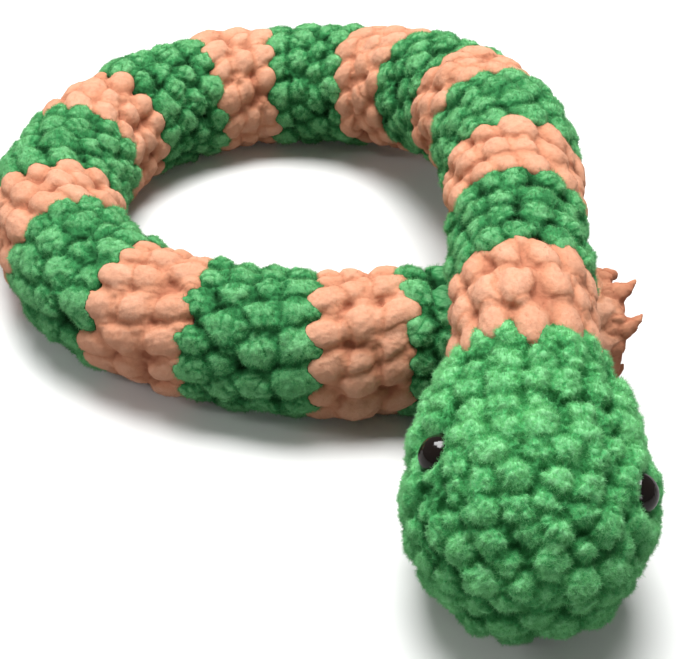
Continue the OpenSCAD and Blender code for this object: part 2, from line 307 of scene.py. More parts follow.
# %% The leaf shape
RINGS, SPOKES = 11, 12
TIP = 0.06                   # the outer rings stop this short of the tips, in radians


def ring_faces(rings, spokes, ends):
    """Faces of a tube of rings. It has two ends, or else its last ring joins its first."""
    sides = [[i * spokes + j, i * spokes + (j + 1) % spokes,
              (i + 1) % rings * spokes + (j + 1) % spokes, (i + 1) % rings * spokes + j]
             for i in range(rings - ends) for j in range(spokes)]
    caps = [list(range(spokes))[::-1], list(range((rings - 1) * spokes, rings * spokes))]
    return sides + caps if ends else sides


def leaf(blunt=2.5, sharp=1.8):
    """Points of a leaf of half length, half width and half height 1."""
    t = -np.cos(np.linspace(TIP, math.pi - TIP, RINGS))
    power = np.where(t < 0, blunt, sharp)
    width = (1 - np.abs(t) ** power) ** 0.7
    spin = np.linspace(0, 2 * math.pi, SPOKES, endpoint=False)
    return np.stack([np.repeat(t, SPOKES), np.outer(width, np.cos(spin)).ravel(),
                     np.outer(width, np.sin(spin)).ravel()], axis=-1)


leaf_points, leaf_rings = leaf(), ring_faces(RINGS, SPOKES, True)
print("a leaf has", len(leaf_points), "points and", len(leaf_rings), "faces")

# %% [markdown]
# ## Stitches on the skin
#
# On the real toy no two stitches lie quite alike. Instances of one mesh would all be the same, so
# here each leaf gets a row in a table: its place, slant, size, tilt and a shift to one side. Each
# one is set down on the skin in the directions found there, and its underside stays in the cover.

# %% Leaves on the skin
U, A, W, SLANT, HALF_L, HALF_W, HALF_H, TILT, SHIFT_U, SHIFT_V = range(10)    # columns of a table
LOWEST = -COVER + 0.4        # no leaf reaches deeper than this
LEAST_BEND = 18              # mm, the smallest radius that a leaf is bent round
FLAT = 200.0                 # mm, a radius that is as good as flat, for the disc at the tail


def row(u, a, w, slant, half_l, half_w, half_h, tilt=0.0, shift_u=0.0, shift_v=0.0):
    """One leaf: lengths in mm, angles in radians. It rises towards the head where tilt is positive."""
    return [u, a, w, slant, half_l, half_w, half_h, tilt, shift_u, shift_v]


def leaves(table, place=skin):
    """Points of every leaf in a table."""
    columns = np.asarray(table).T
    middle, ahead, aside, out = (v[:, None] for v in directions(columns[U], columns[A], place))
    u0, _, w0, slant, half_l, half_w, half_h, tilt, shift_u, shift_v = (c[:, None] for c in columns)
    l, m, n = leaf_points.T
    along, across = half_l * l, half_w * m
    u = shift_u + along * np.cos(slant) + across * np.sin(slant)
    v = shift_v - along * np.sin(slant) + across * np.cos(slant)
    bend = np.maximum(skin_radius(u0) if place is skin else FLAT, LEAST_BEND)
    w = np.maximum(w0 + half_h * n - np.tan(tilt) * along, LOWEST) - v * v / (2 * bend)
    return (middle + u[..., None] * ahead + v[..., None] * aside + w[..., None] * out).reshape(-1, 3)


def leaf_faces(count, first):
    """Faces of that many leaves, whose points start at first."""
    size = len(leaf_points)
    return [[first + k * size + i for i in face] for k in range(count) for face in leaf_rings]


sample = leaves([row(100.0, 0.0, 0.0, 0.0, 9.0, 7.0, 5.0)])
print("a sample leaf measures", (sample.max(0) - sample.min(0)).round(1), "mm")

# %% [markdown]
# ## The ground under the stitches
#
# Between the stitches one sees the rest of the yarn lying deeper. Every hidden turn of yarn could be
# modelled, but nobody would see it. A thin closed shell stands for it, from the lining up to a
# little below the stitches, and it also keeps the piece in one when the leaves are joined.

# %% The shell
SHELL_SPOKES = 72


def tube(stations, ends=False):
    """Points and faces of a tube through stations u, w. It has ends, or joins up with its start."""
    spin = np.linspace(0, 2 * math.pi, SHELL_SPOKES, endpoint=False)
    rings = [skin(np.full(SHELL_SPOKES, u), spin, w) for u, w in stations]
    return np.concatenate(rings), ring_faces(len(rings), SHELL_SPOKES, ends)


def shell(us, outer):
    """A tube with a lining, along the stations us."""
    return tube([(u, outer) for u in us] + [(u, -COVER + 0.1) for u in us[::-1]])


print("a shell of two stations has", len(shell([0.0, ROUND], -3.0)[0]), "points")

# %% [markdown]
# ## Smooth noise
#
# Yarn is never even. Blender's own noise is there for materials, but the points of a mesh are moved
# in code here, so the script has a noise of its own: soft random hills of any size. It is made from
# a seeded table, so it is the same each time.

# %% Noise
noise_rng = np.random.default_rng(71)
shuffle = noise_rng.permutation(256)
slants = noise_rng.normal(size=(256, 3))
slants /= np.linalg.norm(slants, axis=1, keepdims=True)


def noise(points, size):
    """Soft noise between about -1 and 1, with hills this many mm wide."""
    p = points / size
    cell = np.floor(p).astype(int)
    f = p - cell
    t = f * f * f * (f * (f * 6 - 15) + 10)
    total = np.zeros(len(p))
    for corner in product((0, 1), repeat=3):
        c = cell + corner
        pick = shuffle[(shuffle[(shuffle[c[:, 0] & 255] + c[:, 1]) & 255] + c[:, 2]) & 255]
        share = np.prod(np.where(corner, t, 1 - t), axis=1)
        total += share * np.einsum("ij,ij->i", f - corner, slants[pick])
    return 1.6 * total


print("noise along a line", noise(np.outer(np.arange(4), [1.3, 0.7, 0.4]), 2.0).round(2))

# %% [markdown]
# ## Meshes in and out
#
# Every piece of yarn is handled in the same few ways: made from points, read, moved and given
# numbers to remember. Clicking through Blender's menus does the same, but a few short helpers make
# it repeatable, and whole arrays at a time are fast enough for hundreds of thousands of points.

# %% Mesh helpers
made = bpy.data.collections.new("yarn")
bpy.context.scene.collection.children.link(made)


def new_mesh(name, points, faces):
    """A mesh object from points in mm."""
    mesh = bpy.data.meshes.new(name)
    mesh.from_pydata((points * MM).tolist(), [], faces)
    mesh.update()
    obj = bpy.data.objects.new(name, mesh)
    made.objects.link(obj)
    return obj


def read(values, what):
    """Places or normals of a mesh's points as an array."""
    numbers = np.empty(len(values) * 3, np.float32)
    values.foreach_get(what, numbers)
    return numbers.reshape(-1, 3).astype(float)


def write(mesh, points):
    """Moves the mesh to these points, in mm."""
    mesh.vertices.foreach_set("co", (points * MM).astype(np.float32).ravel())
    mesh.update()


def remember(mesh, name, values):
    """Keeps one number for each point, for the material to use."""
    mesh.attributes.new(name, "FLOAT", "POINT").data.foreach_set("value", values.astype(np.float32))


def soften(mesh):
    """Lets light run smoothly over the edges of a mesh."""
    mesh.polygons.foreach_set("use_smooth", [True] * len(mesh.polygons))


print("pieces of yarn go in the collection", made.name)

# %% [markdown]
# ## From stitches to one piece of crochet
#
# All loops of a band are one yarn, and their fibres run into each other. A Boolean union would keep
# hard edges between the leaves, and a cloth simulation needs a sheet, which stitches aren't. So the
# leaves are melted together on a fine grid with Remesh, and then smoothed.

# %% Melting
VOXEL = 0.7


def baked(obj):
    """The object, with its modifiers worked into its mesh."""
    graph = bpy.context.evaluated_depsgraph_get()
    mesh = bpy.data.meshes.new_from_object(obj.evaluated_get(graph))
    obj.modifiers.clear()
    old, obj.data = obj.data, mesh
    mesh.name = obj.name
    bpy.data.meshes.remove(old)
    return obj


def melted(obj, voxel, smoothing):
    """The object with its overlapping parts joined into one surface."""
    remesh = obj.modifiers.new("melt", "REMESH")
    remesh.mode = "VOXEL"
    remesh.voxel_size = voxel * MM
    smooth = obj.modifiers.new("smooth", "SMOOTH")
    smooth.factor = 0.5
    smooth.iterations = smoothing
    return baked(obj)


print("the grid is", VOXEL, "mm")

# %% [markdown]
# ## Which stitch a point belongs to
#
# After melting, the mesh no longer knows its stitches, but the creases between them still have to
# be drawn in. Painting them by hand would take days. Instead each point finds its own stitch, the
# nearest by the stitch's own length and width, and how much nearer it is than the next one.

# %% Nearest place, height and stitch
AROUND = 120                 # places round the skin at each station
SEAM_DEPTH = 14              # mm, how little the height counts in finding the nearest stitch
DEEP = -3.4                  # mm, a stitch that lies lower than this shows less
BATCH = 4000                 # points handled at a time, to spare memory


def nearest(places):
    """A tree that finds the nearest of these places."""
    tree = KDTree(len(places))
    for i, place in enumerate(places):
        tree.insert(place, i)
    tree.balance()
    return tree


def above_skin(points, us):
    """How far points lie above the skin, by the nearest of many places on it."""
    u, a = (g.ravel() for g in np.meshgrid(us, np.linspace(0, 2 * math.pi, AROUND, endpoint=False)))
    base, _, _, out = directions(u, a)
    tree = nearest(base)
    near = np.array([tree.find(p)[1] for p in points])
    return ((points - base[near]) * out[near]).sum(1)


def seams(points, table):
    """The stitch that each point belongs to, and how far the point is from the next stitch."""
    t = np.asarray(table)
    middle, ahead, aside, out = directions(t[:, U], t[:, A])
    slant, owner, room = t[:, [SLANT]], [], []
    middle = middle + t[:, [SHIFT_U]] * ahead + t[:, [SHIFT_V]] * aside
    ahead = ahead / (ahead * ahead).sum(1, keepdims=True)
    ways = ((ahead * np.cos(slant) - aside * np.sin(slant)) / t[:, [HALF_L]],
            (ahead * np.sin(slant) + aside * np.cos(slant)) / t[:, [HALF_W]], out / SEAM_DEPTH)
    below = 0.35 * np.clip(DEEP - t[:, W], 0, 2)
    for part in np.array_split(points, max(1, len(points) // BATCH)):
        d = np.sqrt(sum((part @ way.T - (middle * way).sum(1)) ** 2 for way in ways)) + below
        two = np.partition(d, 1, axis=1)
        owner.append(np.argmin(d, axis=1))
        room.append(two[:, 1] - two[:, 0])
    return np.concatenate(owner), np.concatenate(room)


print("each station of the skin has", AROUND, "places")

# %% [markdown]
# ## Clumps of pile
#
# The green yarn is fluffier than the peach one: its fibres stick together in clumps of 3 mm. A bump
# in the material could draw them, but they show at the outline. So each is a small round leaf on
# the stitch, strewn at random.

# %% Clumps on a stitch
YARN_SEED = 20
rng = np.random.default_rng(YARN_SEED)
TO_EDGE = 0.75               # share of a stitch's face that clumps are strewn on
CLUMP_LEAST, CLUMP_MOST = 0.8, 1.25              # sizes of clumps, against the usual one
CLUMP_SUNK, CLUMP_LONG = 0.78, 1.2               # how deep a clump sits and how long it is, in radii


def tufts(leg, number, size):
    """Small clumps of fibre on one leg of a stitch."""
    u, a, w, slant, half_l, half_w, half_h, tilt = leg[:8]
    rows = []
    for _ in range(number):
        out, turn = math.sqrt(rng.uniform(0, TO_EDGE)), rng.uniform(0, 2 * math.pi)
        l, m = out * math.cos(turn) * half_l, out * math.sin(turn) * half_w
        shift_u = l * math.cos(slant) + m * math.sin(slant)
        shift_v = -l * math.sin(slant) + m * math.cos(slant)
        top = w + half_h * math.sqrt(1 - out * out) - math.tan(tilt) * l
        r = size * rng.uniform(CLUMP_LEAST, CLUMP_MOST)
        rows.append(row(u, a, top - CLUMP_SUNK * r, rng.uniform(0, 2 * math.pi), CLUMP_LONG * r, r, r,
                        shift_u=shift_u, shift_v=shift_v))
    return rows


def only_clumps(table):
    """The clumps in a table: they are its rows without a tilt."""
    return [each for each in table if each[TILT] == 0]


print("the yarn's own errors come from seed", YARN_SEED)

# %% [markdown]
# ## The stitches of a band
#
# A band has twelve stitches to a round, each with a leading leg and a smaller one beside it. Each
# round is turned a little against the one before, because crochet goes round in a spiral. An Array
# modifier would repeat them, but too evenly, so every leg gets its own small errors.

# %% Stitches of one band
STITCHES = 12
TWIST = math.radians(-10.5)  # turn from one round to the next
REACH = 5.0                  # how far the colours reach into each other
BACK = 2.2                   # mm that a stitch sits towards the head from the middle of its round
TIGHT_ROUNDS, TIGHT = 7, 0.94                    # the neck was worked a little tighter
PEACH_LEG, GREEN_LEG = (9.8, 7.5), (8.4, 8.1)    # half length and half width: pointed, and broad
SIDE_LEG = (6.6, 4.8)
# Height above the cover and half height in mm, slant and tilt in degrees, of both legs
LEAD_W, LEAD_H, LEAD_SLANT, LEAD_TILT = -3.2, 5.0, 38, 9
SIDE_W, SIDE_H, SIDE_SLANT, SIDE_TILT = -4.4, 4.6, 15, 7
SIDE_TURN, SIDE_SHIFT = 0.26, 4.0                # of the side leg, in radians round and in mm along
CLUMP_SIZE = 3.0             # mm


def band_stitches(first_round, rounds, clumps):
    """The tables of a band's stitches: their leading legs, and their other legs with all the clumps."""
    legs, others = [], []
    half_l, half_w = GREEN_LEG if clumps else PEACH_LEG
    for k in range(rounds):
        number = first_round + k
        small = TIGHT if number < TIGHT_ROUNDS else 1.0
        long = REACH if k == rounds - 1 else 0.0  # the last round fills the notches of the next colour
        for j in range(STITCHES):
            wobble = rng.normal(size=10)          # ten random errors; each is scaled where it is used
            a = 2 * math.pi * j / STITCHES + TWIST * number + 0.07 * wobble[0]
            u = (number + 0.5) * ROUND - BACK + 0.9 * wobble[1]
            size = small * (1 + 0.09 * wobble[2])
            main = row(u, a, LEAD_W + 0.4 * wobble[4], math.radians(LEAD_SLANT + 10 * wobble[3]),
                       half_l * size + long / 2, half_w * size, LEAD_H * size,
                       math.radians(LEAD_TILT), long / 2)
            side = row(u, a + SIDE_TURN + 0.05 * wobble[6], SIDE_W + 0.3 * wobble[9],
                       math.radians(SIDE_SLANT + 15 * wobble[7]), SIDE_LEG[0] * small,
                       SIDE_LEG[1] + 0.3 * wobble[8], SIDE_H, math.radians(SIDE_TILT),
                       SIDE_SHIFT + 0.8 * wobble[5] + long / 2)
            legs.append(main)
            others.append(side)
            for leg, share in ((main, 1), (side, 0.5)):
                others += tufts(leg, round(share * clumps), CLUMP_SIZE) if clumps else []
    return legs, others


print("a peach band has", PEACH_ROUNDS * STITCHES, "stitches, a green one", GREEN_ROUNDS * STITCHES)

# %% [markdown]
# ## The loops at the end of the tail
#
# The last round was worked long, and three of its loops stand out like hooks. They could be bent
# with a curve modifier, but a few leaves that get smaller along a bend melt into the same form, in
# the same way as all the rest.

# %% Loops at the tail
HOOKS = ((51, 0.8), (99, 1.15), (143, 1.1))      # degrees round the tail, and how long
END_W = -3.1                 # mm, height of the root of a hook above the cover
END_TILT = -6                # degrees: the ends of the loops turn out
# Along and to the side, half length and half width, from the root of a hook to its tip
HOOK_LEAVES = ((-3.0, 0, 6.5, 6.6), (1.6, -0.2, 5.0, 5.8), (4.6, -1.4, 4.0, 4.2),
               (7.0, -3.3, 3.0, 2.6), (8.6, -5.0, 1.9, 1.4))


def prongs():
    """The pointed loops at the end of the tail, curved upwards, and the round ones between them."""
    rows = []
    end = LAST_ROUND * ROUND
    for angle, reach in HOOKS:
        for step, (along, side, long, wide) in enumerate(HOOK_LEAVES):
            rows.append(row(end, math.radians(angle), END_W + 0.3 * step, math.radians(6 + 12 * step),
                            long, wide, 4.0 - 0.55 * step, math.radians(END_TILT), along * reach, side))
    for j in range(STITCHES):
        angle = 2 * math.pi * (j + 0.4) / STITCHES
        rows.append(row(end, angle, LEAD_W, math.radians(20 + 10 * rng.normal()), 5.0, 5.2, 3.8,
                        math.radians(END_TILT), -1.5 + 0.8 * rng.normal()))
    return rows


print("hooks at the tail", len(HOOKS))

# %% [markdown]
# ## Creases, fluff and what the material needs
#
# Chenille swells between the places where it is pulled tight, so a stitch is plump in its middle and
# creased at its edge. A displacement texture would not know where the stitches are. Here the points
# are moved in code, and depth, fluff, seam and stitch are kept on the mesh for the material.

# %% Finish a piece of yarn
LOOSE, LOOSE_SIZE = 1.6, 6.0           # how unevenly the creases run, and over what length
CREASE_WIDTH, PLUMP_WIDTH = 0.16, 0.75  # of a crease and of a stitch's slope, in half stitches
CLUMP_CREASE, CLUMP_REACH = 0.3, 4.5   # depth between clumps, and how far from one they reach
TAIL_END_SHADE = 3.0                             # the stitches at the tail's end are painted darker: painted shade
DEEPEST, DEPTH_SPAN = 4.0, 4.4         # mm under the skin that are painted darkest, and up to the top
TINT_SEED = 5
PRESSED_LEAST = 0.05                   # mm over the table that the lowest points stay


def hills(points, puff):
    """The unevenness of yarn: soft hills, or round puffs with creases between them."""
    total = 0
    for i, (size, amount, billow) in enumerate(puff):
        hill = noise(points + 9 * i, size)
        total = total + amount * (np.abs(hill) * 2 - 0.6 if billow else hill)
    return total


def between_clumps(points, clumps):
    """How much each point lies in a crease between two clumps, from 0 to 1."""
    if not clumps:
        return np.zeros(len(points))
    t = np.asarray(clumps)
    middle, ahead, aside, out = directions(t[:, U], t[:, A])
    tree = nearest(middle + t[:, [SHIFT_U]] * ahead + t[:, [SHIFT_V]] * aside + t[:, [W]] * out)
    two = np.array([[found[2] for found in tree.find_n(p, 2)] for p in points])
    return np.exp(-((two[:, 1] - two[:, 0]) / 0.5) ** 2) * (two[:, 0] < CLUMP_REACH)


def finish_yarn(obj, us, neck, table, clumps, material, puff, groove):
    """Draws the seams in melted yarn, roughens it, stores what its material needs and gives that."""
    mesh = obj.data
    points, normals = read(mesh.vertices, "co") / MM, read(mesh.vertex_normals, "vector")
    w = above_skin(points, us)
    loose = np.column_stack([noise(points + 31 * i, LOOSE_SIZE) for i in (1, 2, 3)])
    owner, room = seams(points + LOOSE * loose, table)
    seam = np.exp(-(room / CREASE_WIDTH) ** 2)
    plump = np.sqrt(np.clip(room / PLUMP_WIDTH, 0, 1))
    outside = ease((w + COVER - 0.3) / 1.5)      # the lining stays smooth
    tuft = between_clumps(points, clumps)
    rise = hills(points, puff) - groove * (1 - plump) - CLUMP_CREASE * tuft
    points = points + normals * (rise * outside)[:, None]
    # For the material's painted shade and light: depth and seam darken deep places, creases and gaps
    # between clumps; fluff makes higher hills paler
    remember(mesh, "depth", np.clip((w + DEEPEST) / DEPTH_SPAN, 0, 1))
    remember(mesh, "fluff", np.clip(0.5 + 0.7 * rise, 0, 1))
    remember(mesh, "seam", np.clip(np.maximum(seam, 0.6 * tuft), 0, 1))
    shade = np.random.default_rng(TINT_SEED).uniform(0, 1, len(table))
    # Painted shade: the tint of the stitches at the tail's end is lowered
    shade[np.asarray(table)[:, U] >= LAST_ROUND * ROUND] -= TAIL_END_SHADE
    remember(mesh, "tint", shade[owner])
    write(mesh, pressed(points, neck, np.clip(0.4 - w, PRESSED_LEAST, COVER)))
    soften(mesh)
    mesh.materials.append(material)


print("creases wander by up to", LOOSE, "mm")

# %% [markdown]
# ## A whole band
#
# On the real toy a band is a few rounds of one colour. It could be one object for each stitch, but
# then a colour couldn't be changed or replaced as one thing. So a band is one piece: its shell and
# leaves together, melted and finished.

# %% One band
GROUND_TOP = -3.0            # mm, top of the shell under the stitches
SMALLEST_LEG = 4.5           # mm, half length of the smallest leaf that gets a crease of its own
PEACH_GROOVE, GREEN_GROOVE, HEAD_GROOVE = 1.0, 1.15, 0.9   # mm, depth of the creases
SMOOTHING = 5                # passes


def band(name, first_round, rounds, material, puff, clumps):
    """The crochet of one band, as one melted and roughened piece."""
    last = first_round + rounds == LAST_ROUND
    start, end = first_round * ROUND, (first_round + rounds - 0.2 * last) * ROUND
    legs, others = band_stitches(first_round, rounds, clumps)
    if last:
        legs += prongs()
    stations = np.linspace(start + REACH / 2, end + REACH / 2, 3 * rounds + 1)
    ground, faces = shell(stations, GROUND_TOP)
    points = np.concatenate([ground, leaves(legs + others)])
    faces = faces + leaf_faces(len(legs + others), len(ground))
    obj = melted(new_mesh(name, points, faces), VOXEL, SMOOTHING)
    creased = [leg for leg in legs if leg[HALF_L] > SMALLEST_LEG]
    us = np.linspace(start - 8, end + 12, 8 * rounds + 14)
    finish_yarn(obj, us, first_round < NECK_ROUNDS, creased, only_clumps(others), material, puff,
                GREEN_GROOVE if clumps else PEACH_GROOVE)
    return obj


print("the creases are", PEACH_GROOVE, "mm deep in peach yarn and", GREEN_GROOVE, "in green")

# %% [markdown]
# ## Building materials from nodes
#
# A material could be clicked together in the node editor. In a script one small function adds a
# node, fills its inputs and links them, so a material reads like a recipe. Colours are picked as
# on a screen, and one function turns them into the linear values that light is reckoned in.

# %% Colour and node helpers
def light(colour):
    """Linear red, green, blue and alpha of a colour such as #aabbcc."""
    parts = [int(colour[i:i + 2], 16) / 255 for i in (1, 3, 5)]
    return [p / 12.92 if p <= 0.04045 else ((p + 0.055) / 1.055) ** 2.4 for p in parts] + [1.0]


def node(tree, kind, settings=None, **inputs):
    """Adds a node, sets its settings, and fills or links its inputs, by name or as _0, _1 and so on."""
    made_node = tree.nodes.new("ShaderNode" + kind)
    for key, value in (settings or {}).items():
        setattr(made_node, key, value)
    for key, value in inputs.items():
        which = int(key[1:]) if key[0] == "_" else key.replace("_", " ")
        socket = made_node.inputs[which]
        if isinstance(value, bpy.types.NodeSocket):
            tree.links.new(value, socket)
        else:
            socket.default_value = value
    return made_node


def new_material(name):
    """An empty material and its node tree."""
    material = bpy.data.materials.new(name)
    material.use_nodes = True
    material.node_tree.nodes.clear()
    return material, material.node_tree


def per_metre(width):
    """The scale of a noise texture whose grains are this many mm wide."""
    return 1 / (width * MM)


print("middle grey in linear light", round(light("#808080")[0], 3))

# %% [markdown]
# ## Chenille yarn
#
# Chenille is polyester fibre, cut short and twisted into a cord. It could be one velvet colour, but
# real yarn is dark where its fibres lie deep in shade and pale where their tips catch the light.
# So the numbers kept on the mesh run through a colour ramp with a fine noise: painted shade and light.

# %% Chenille yarn
SPECKLE = 1000 / 750         # mm; real fibres are 0.02 mm thick, drawn this coarse so that they show
FLOCK = 1000 / 260           # mm, about the width of the tufts that real pile parts into
TIP_STOP = 0.6               # where the middle colour lies between the deep one and the tips
LEVEL_LOW, LEVEL_HIGH = 0.45, 1.75


def shades(tree, colours, fuzz, crease, grain, lift):
    """The colour of yarn with painted shade and light: dark deep between stitches, over middle to pale
    tips, and its fine noise.
    """
    place = node(tree, "TexCoord").outputs["Object"]
    depth, fluff, seam, tint = (node(tree, "Attribute", {"attribute_name": what}).outputs["Fac"]
                                for what in ("depth", "fluff", "seam", "tint"))
    fine = node(tree, "TexNoise", Vector=place, Scale=per_metre(SPECKLE), Detail=3.0,
                Roughness=0.65).outputs["Fac"]
    clump = node(tree, "TexNoise", Vector=place, Scale=per_metre(FLOCK), Detail=2.0,
                 Roughness=0.5).outputs["Fac"]
    # Painted shade and light: deep places and seams darker, higher hills (fluff) paler
    level = depth
    for what, much in ((fine, grain), (clump, 0.35), (fluff, fuzz), (tint, 0.14), (seam, -crease)):
        level = node(tree, "Math", {"operation": "MULTIPLY_ADD"}, _0=what, _1=much, _2=level).outputs[0]
    level = node(tree, "MapRange", _0=level, _1=LEVEL_LOW + fuzz / 2 - lift,
                 _2=LEVEL_HIGH + fuzz / 2 - lift).outputs[0]
    ramp = node(tree, "ValToRGB", Fac=level)
    stops = ramp.color_ramp.elements
    stops[0].color = light(colours[0])
    stops[1].color = light(colours[2])
    stops.new(TIP_STOP).color = light(colours[1])
    return ramp.outputs["Color"], fine


def chenille(name, colours, fuzz, crease, sheen, grain=0.55, lift=-0.07):
    """The body of chenille yarn. Grain is how much the fine noise shows; lift makes all of it paler."""
    material, tree = new_material(name)
    colour, fine = shades(tree, colours, fuzz, crease, grain, lift)
    bump = node(tree, "Bump", Height=fine, Strength=0.45, Distance=0.7 * MM).outputs["Normal"]
    cloth = node(tree, "BsdfPrincipled", Base_Color=colour, Roughness=0.95, IOR=1.5, Normal=bump,
                 Specular_IOR_Level=0.1, Sheen_Weight=sheen, Sheen_Roughness=0.5,
                 Sheen_Tint=light(colours[2]))
    node(tree, "OutputMaterial", Surface=cloth.outputs[0])
    return material


# Colours: painted shade between the stitches, the yarn itself, and painted light on its tips
PEACH = ("#a86b51", "#c78b6c", "#dba98e")
GREEN = ("#052e10", "#36824b", "#86c88d")
# The head's colours are paler than the body's green: painted light
HEAD_GREEN = ("#125020", "#489f5e", "#98dca0")
# Polyester chenille as it comes off the ball: its short pile lies close, so it looks matt and even;
# its creases get only a little painted shade
peach_yarn = chenille("peach chenille yarn", PEACH, 0.2, 0.28, 0.3, 0.35, 0.03)
# The same yarn dyed green, worked with its pile standing: strong painted shade in its hollows and a
# velvet bloom
green_yarn = chenille("green chenille yarn", GREEN, 0.35, 0.35, 0.6)
# Green chenille on the head, its colours paler as painted light: paler painted tips, softer
# painted shade in its hollows, and the strongest bloom
head_wool = chenille("green chenille yarn, painted paler on the head", HEAD_GREEN, 0.35, 0.22, 0.8)
print("yarns", [yarn.name for yarn in (peach_yarn, green_yarn, head_wool)])

# %% [markdown]
# ## Crochet the bands
#
# The real snake is worked band after band without a break. All bands could be copies of two, but
# each bends in its own way and has its own errors, so every band is crocheted anew along the line.

# %% Crochet the bands
# Hills of the yarn: their width and height in mm, and whether they are round puffs with creases
PEACH_PUFF = [(4.5, 0.30, False), (1.8, 0.16, False)]
GREEN_PUFF = [(4.5, 0.35, True), (2.2, 0.25, False)]
HEAD_PUFF = [(4.5, 0.5, True), (2.4, 0.35, True), (1.3, 0.2, False)]
CLUMPS = 5                   # clumps on the leading leg of a green stitch
pieces = {}
for i in range(BANDS):
    name = f"peach_band_{i + 1:02d}"
    pieces[name] = band(name + "_yarn", i * PAIR, PEACH_ROUNDS, peach_yarn, PEACH_PUFF, 0)
    if i < BANDS - 1:
        name = f"green_band_{i + 1:02d}"
        pieces[name] = band(name + "_yarn", i * PAIR + PEACH_ROUNDS, GREEN_ROUNDS, green_yarn,
                            GREEN_PUFF, CLUMPS)
print("bands", len(pieces), "points", sum(len(o.data.vertices) for o in pieces.values()))

# %% [markdown]
# ## The stitches of the head
#
# The head is green yarn too, worked in rounds of up to 21 stitches that are drawn together at the
# nose. A ball with a bump map would look too regular from close by. So it is worked as the bands
# are, but with as many stitches in each round as fit, because the yarn can't be squeezed.

# %% Stitches of the head
HEAD_ROW = 11.0              # mm from one round to the next
HEAD_STITCH = 13.0           # mm that a stitch takes round the head
FEWEST, MOST = 5, 21         # stitches in a round
ROW_TURN = 0.37              # turn from round to round, in stitches
HEAD_LEAD, HEAD_SIDE = (7.4, 6.9, 5.2), (5.4, 3.8, 4.0)    # half length, width and height of both legs
HEAD_LEAD_W, HEAD_SIDE_W = -3.1, -4.3            # their height above the cover
HEAD_LEAD_SLANT, HEAD_SIDE_SLANT, HEAD_TILT = 30, -28, -5  # degrees


def head_line(a, share):
    """The u at these shares of the way over the head, measured on the skin at angle a."""
    us = -np.linspace(0, HEAD_U, 200)
    places = skin(us, np.full(200, a), 0.0)
    length = np.concatenate([[0], np.cumsum(np.linalg.norm(np.diff(places, axis=0), axis=1))])
    return np.interp(share * length[-1], length, us)


def head_stitches():
    """The tables of the head's stitches: their leading legs, and their other legs with all the clumps."""
    legs, others = [], []
    count = round(HEAD_U / HEAD_ROW)
    for k in range(count):
        share = (k + 0.45) / count
        over, under = head_line(math.pi / 2, share), head_line(-math.pi / 2, share)
        reach = float(skin_radius((over + under) / 2))
        number = max(FEWEST, min(MOST, round(2 * math.pi * reach / HEAD_STITCH)))
        long = REACH + 1 if k == 0 else 0.0
        for j in range(number):
            wobble = rng.normal(size=9)
            a = 2 * math.pi * (j + ROW_TURN * k) / number + 1.5 / reach * wobble[0]
            u = under + (over - under) * (1 + math.sin(a)) / 2
            size = 1 + 0.11 * wobble[1]
            main = row(u + 1.0 * wobble[2], a, HEAD_LEAD_W + 0.6 * wobble[3],
                       math.radians(HEAD_LEAD_SLANT + 14 * wobble[4]), HEAD_LEAD[0] * size + long / 2,
                       HEAD_LEAD[1] * size, HEAD_LEAD[2] * size, math.radians(HEAD_TILT), long / 2)
            side = row(u, a + math.pi / number, HEAD_SIDE_W + 0.3 * wobble[8],
                       math.radians(HEAD_SIDE_SLANT + 12 * wobble[6]), *HEAD_SIDE,
                       math.radians(HEAD_TILT), 1.0 + 0.7 * wobble[5])
            legs.append(main)
            others += [side, *tufts(main, 4, 3.2), *tufts(side, 2, 2.6)]
    return legs, others


head_legs, head_others = head_stitches()
print("the head has", len(head_legs), "stitches")

# %% [markdown]
# ## The head
#
# The yarn is so fluffy on the head that each stitch is a clump. Fur alone would hide the stitches,
# so the clumps are melted on a finer grid than the bands, and the fibres come later.

# %% Head
HEAD_VOXEL = 0.6
HEAD_GROUND_TOP = -2.0
over_head = np.linspace(-REACH / 2, HEAD_U - 12, 26)
at_nose = np.linspace(HEAD_U - 9, HEAD_U - 1, 5)
ground, faces = shell(-np.concatenate([over_head, at_nose]), HEAD_GROUND_TOP)
head = new_mesh("head_yarn", np.concatenate([ground, leaves(head_legs + head_others)]),
                faces + leaf_faces(len(head_legs + head_others), len(ground)))
melted(head, HEAD_VOXEL, SMOOTHING)
finish_yarn(head, -np.linspace(-8, HEAD_U - 0.5, 110), True, head_legs, only_clumps(head_others),
            head_wool, HEAD_PUFF, HEAD_GROOVE)
pieces["head_cover"] = head
print("head", len(head.data.vertices), "points")

# %% [markdown]
# ## Room for the eyes
#
# A safety eye is pushed through the cover before the head is stuffed, and a washer on its ribbed
# shank holds it from inside. Its rim presses the yarn flat, so the yarn round it stands up. A
# simulation could press it, but a table of heights by distance from the eye does so exactly.

# %% Eye sockets
EYE_BACK = 7.5               # mm from the widest part of the head towards the nose
EYE_U = -(CROWN + EYE_BACK) / ROUND
EYE_ANGLE = math.asin(EYE_BACK / NOSE)
EYE_SEAT = HEAD_R * math.cos(EYE_ANGLE) * math.cos(math.radians(7.5)) - 2.0
EYE_FACE = math.atan2(math.sin(EYE_ANGLE) / NOSE, math.cos(EYE_ANGLE) / HEAD_R)
EYE_R = 7.0
EYE_SKEW, EYE_RISE, EYE_LOWER = 6, 30, 5         # degrees: both turned, both raised, one more


def eye_place(way):
    """The matrix of an eye, in mm: its origin is on the cover, and it looks along +Z."""
    centre = around(np.array(EYE_U), np.array(0.0), np.array(0.0))
    turn = math.radians(np.interp(EYE_U, line_s, line_heading) + way * 90 - EYE_SKEW)
    return (Matrix.Translation(centre) @ Matrix.Rotation(turn, 4, "Z")
            @ Matrix.Rotation(math.radians(90 - EYE_RISE - way * EYE_LOWER), 4, "Y")
            @ Matrix.Translation((0, 0, EYE_SEAT)) @ Matrix.Rotation(-way * EYE_FACE, 4, "X"))


eye_places = [eye_place(1), eye_place(-1)]
